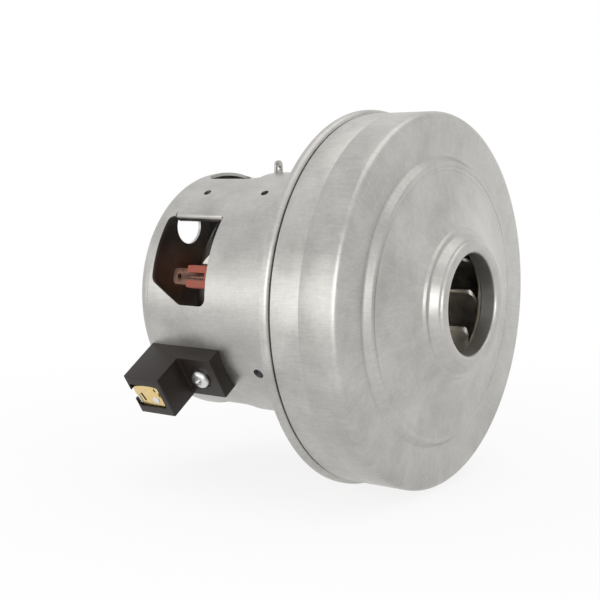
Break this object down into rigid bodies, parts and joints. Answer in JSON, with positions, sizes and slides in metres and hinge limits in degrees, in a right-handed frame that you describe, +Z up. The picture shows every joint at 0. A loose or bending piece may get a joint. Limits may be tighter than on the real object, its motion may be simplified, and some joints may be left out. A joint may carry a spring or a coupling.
{
  "type": "vacuum motor unit",
  "caption": "Single-stage vacuum cleaner motor: steel fan drum with central air inlet on a windowed can, with brush gear, bearings, rotor and field inside.",
  "frame": {"origin": "on the shaft axis, in the plane where the fan cover butts on the flange of the motor frame", "axes": "-Y along the shaft axis towards the air inlet, +Z up, +X to the right seen from the inlet side"},
  "size_m": [0.1377, 0.1244, 0.1376],
  "materials": {
    "galvanised_steel": "satin zinc-coated sheet",
    "zinc_steel": "bright zinc plate",
    "black_moulding": "moulded, matt",
    "impeller_aluminium": "rolled sheet",
    "turned_steel": "turned and ground",
    "lamination_steel": "stamped sheets, stacked",
    "white_insulation": "pressed film and moulding",
    "enamelled_copper": "enamelled wire, varnished",
    "phenolic_moulding": "moulded",
    "copper": "turned copper",
    "bearing_steel": "ground",
    "cage_nylon": "moulded",
    "field_winding": "varnished copper wire",
    "red_moulding": "moulded, matt",
    "tinned_brass": "tinned",
    "holder_moulding": "moulded thermoset",
    "brass": "pressed sheet",
    "carbon": "pressed carbon",
    "lead_sleeve": "glass-silicone sleeve"
  },
  "bodies": {
    "frame": {"fan_cover": "galvanised_steel", "motor_frame": "galvanised_steel", "front_bracket": "galvanised_steel", "bracket_screws": "zinc_steel", "diffuser": "black_moulding", "front_bearing_outer": "bearing_steel", "front_bearing_shields": "zinc_steel", "rear_bearing_outer": "bearing_steel", "rear_bearing_shields": "zinc_steel", "wave_washer": "turned_steel", "stator_core": "lamination_steel", "field_coil_upper": "field_winding", "field_coil_lower": "field_winding", "slot_liner_upper": "white_insulation", "slot_liner_lower": "white_insulation", "coil_guards": "white_insulation", "terminal_blocks": "red_moulding", "terminal_tabs": "tinned_brass", "brush_holder_near": "holder_moulding", "brush_holder_far": "holder_moulding", "brush_tube_near": "brass", "brush_tube_far": "brass", "brush_spring_near": "turned_steel", "brush_spring_far": "turned_steel", "brush_leads": "lead_sleeve", "brush_clips": "zinc_steel", "brush_holder_screws": "zinc_steel"},
    "rotor": {"impeller_shroud": "impeller_aluminium", "impeller_blades": "impeller_aluminium", "impeller_back_plate": "impeller_aluminium", "impeller_spacer": "turned_steel", "impeller_washer": "zinc_steel", "impeller_nut": "zinc_steel", "shaft": "turned_steel", "armature_core": "lamination_steel", "armature_insulators": "white_insulation", "armature_winding": "enamelled_copper", "commutator_hub": "phenolic_moulding", "commutator_segments": "copper", "front_bearing_inner": "bearing_steel", "rear_bearing_inner": "bearing_steel"},
    "front_ball_set": {"front_bearing_balls": "bearing_steel", "front_bearing_cage": "cage_nylon"},
    "rear_ball_set": {"rear_bearing_balls": "bearing_steel", "rear_bearing_cage": "cage_nylon"},
    "brush_near": {"carbon_brush_near": "carbon"},
    "brush_far": {"carbon_brush_far": "carbon"}
  },
  "joints": [
    {"name": "rotor_spin", "type": "hinge", "parent": "frame", "child": "rotor", "pos_m": [0, 0, 0], "axis": [0, -1, 0], "continuous": true},
    {"name": "front_ball_roll", "type": "hinge", "parent": "frame", "child": "front_ball_set", "pos_m": [0, -0.0047, 0], "axis": [0, -1, 0], "continuous": true},
    {"name": "rear_ball_roll", "type": "hinge", "parent": "frame", "child": "rear_ball_set", "pos_m": [0, 0.0804, 0], "axis": [0, -1, 0], "continuous": true},
    {"name": "brush_near_slide", "type": "slide", "parent": "frame", "child": "brush_near", "axis": [-0.8339, 0, -0.5519], "range_m": [0, 0.005], "stiffness_N_per_m": 150, "springref_m": -0.016, "deforming": ["brush_spring_near"]},
    {"name": "brush_far_slide", "type": "slide", "parent": "frame", "child": "brush_far", "axis": [0.8339, 0, 0.5519], "range_m": [0, 0.005], "stiffness_N_per_m": 150, "springref_m": -0.016, "deforming": ["brush_spring_far"]}
  ],
  "couplings": [
    {"joint": "front_ball_roll", "follows": "rotor_spin", "ratio": 0.3677},
    {"joint": "rear_ball_roll", "follows": "rotor_spin", "ratio": 0.3654}
  ]
}
